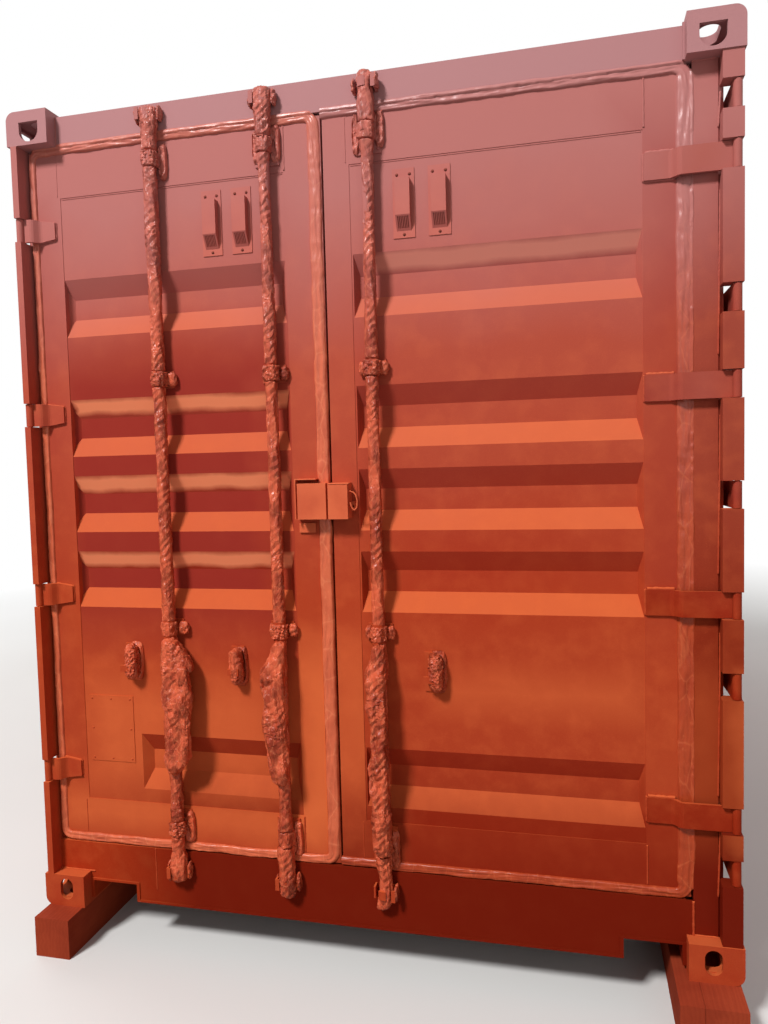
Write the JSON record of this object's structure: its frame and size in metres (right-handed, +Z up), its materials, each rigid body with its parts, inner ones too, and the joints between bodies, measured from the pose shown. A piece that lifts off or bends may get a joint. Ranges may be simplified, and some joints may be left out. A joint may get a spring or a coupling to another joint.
{
  "type": "shipping container",
  "caption": "High-cube steel freight container with hinged end doors, lock rods and folding side doors, set on timber blocks.",
  "frame": {"origin": "ground level, under the middle of the container", "axes": "+Z up, +Y along the container from the end doors to the rear wall, +X to the side with the folding doors"},
  "size_m": [2.438, 6.298, 3.041],
  "materials": {
    "container_paint": "fresh oxide red sprayed paint, satin",
    "rod_paint": "oxide red paint over masking film",
    "underside_paint": "oxide red primer, matt",
    "taped_gasket": "gasket masked with tape and sprayed over",
    "masked_plate": "riveted plate sprayed over",
    "painted_timber": "timber oversprayed with oxide red",
    "floor_board": "plywood floor board"
  },
  "bodies": {
    "container": {"top_corner_castings": "container_paint", "bottom_corner_castings": "container_paint", "front_left_post": "container_paint", "front_right_post": "container_paint", "rear_left_post": "container_paint", "rear_right_post": "container_paint", "door_header": "container_paint", "door_sill": "container_paint", "rear_end_rails": "container_paint", "top_side_rails": "container_paint", "bottom_side_rails": "container_paint", "left_wall": "container_paint", "rear_wall": "container_paint", "roof": "container_paint", "floor_board": "floor_board", "cross_members": "underside_paint", "fork_pockets": "underside_paint", "hinge_pins": "container_paint", "cam_keepers": "container_paint", "side_door_stiles": "container_paint", "side_door_rails": "container_paint", "side_door_panels": "container_paint", "side_door_gaskets": "taped_gasket", "side_door_hinges": "container_paint", "side_door_rods": "container_paint", "side_door_handles": "container_paint", "side_door_brackets": "container_paint", "support_blocks": "painted_timber"},
    "left_door": {"left_door_stiles": "container_paint", "left_door_rails": "container_paint", "left_door_panel": "container_paint", "left_door_gasket": "taped_gasket", "left_door_hinges": "container_paint", "left_door_brackets": "container_paint", "left_door_vents": "container_paint", "data_plate": "masked_plate", "lock_box_socket": "container_paint"},
    "right_door": {"right_door_stiles": "container_paint", "right_door_rails": "container_paint", "right_door_panel": "container_paint", "right_door_gasket": "taped_gasket", "right_door_hinges": "container_paint", "right_door_brackets": "container_paint", "right_door_vents": "container_paint", "lock_box": "container_paint"},
    "rod_1": {"lock_rod_1": "rod_paint"},
    "rod_2": {"lock_rod_2": "rod_paint"},
    "rod_3": {"lock_rod_3": "rod_paint"},
    "lever_1": {"handle_1": "rod_paint"},
    "lever_2": {"handle_2": "rod_paint"},
    "lever_3": {"handle_3": "rod_paint"}
  },
  "joints": [
    {"name": "left_door_hinge", "type": "hinge", "parent": "container", "child": "left_door", "pos_m": [-1.198, -3.008, 1.5], "axis": [0, 0, -1], "range_deg": [0, 265]},
    {"name": "right_door_hinge", "type": "hinge", "parent": "container", "child": "right_door", "pos_m": [1.198, -3.008, 1.5], "axis": [0, 0, 1], "range_deg": [0, 265]},
    {"name": "rod_1_turn", "type": "hinge", "parent": "left_door", "child": "rod_1", "pos_m": [-0.677, -3.001, 1.5], "axis": [0, 0, -1], "range_deg": [0, 90]},
    {"name": "lever_1_lift", "type": "hinge", "parent": "rod_1", "child": "lever_1", "pos_m": [-0.677, -3.033, 1.07], "axis": [-1, 0, 0], "range_deg": [0, 90]},
    {"name": "rod_2_turn", "type": "hinge", "parent": "left_door", "child": "rod_2", "pos_m": [-0.26, -3.001, 1.5], "axis": [0, 0, -1], "range_deg": [0, 90]},
    {"name": "lever_2_lift", "type": "hinge", "parent": "rod_2", "child": "lever_2", "pos_m": [-0.26, -3.033, 1.07], "axis": [-1, 0, 0], "range_deg": [0, 90]},
    {"name": "rod_3_turn", "type": "hinge", "parent": "right_door", "child": "rod_3", "pos_m": [0.09, -3.001, 1.5], "axis": [0, 0, 1], "range_deg": [0, 90]},
    {"name": "lever_3_lift", "type": "hinge", "parent": "rod_3", "child": "lever_3", "pos_m": [0.09, -3.033, 1.07], "axis": [-1, 0, 0], "range_deg": [0, 90]}
  ]
}
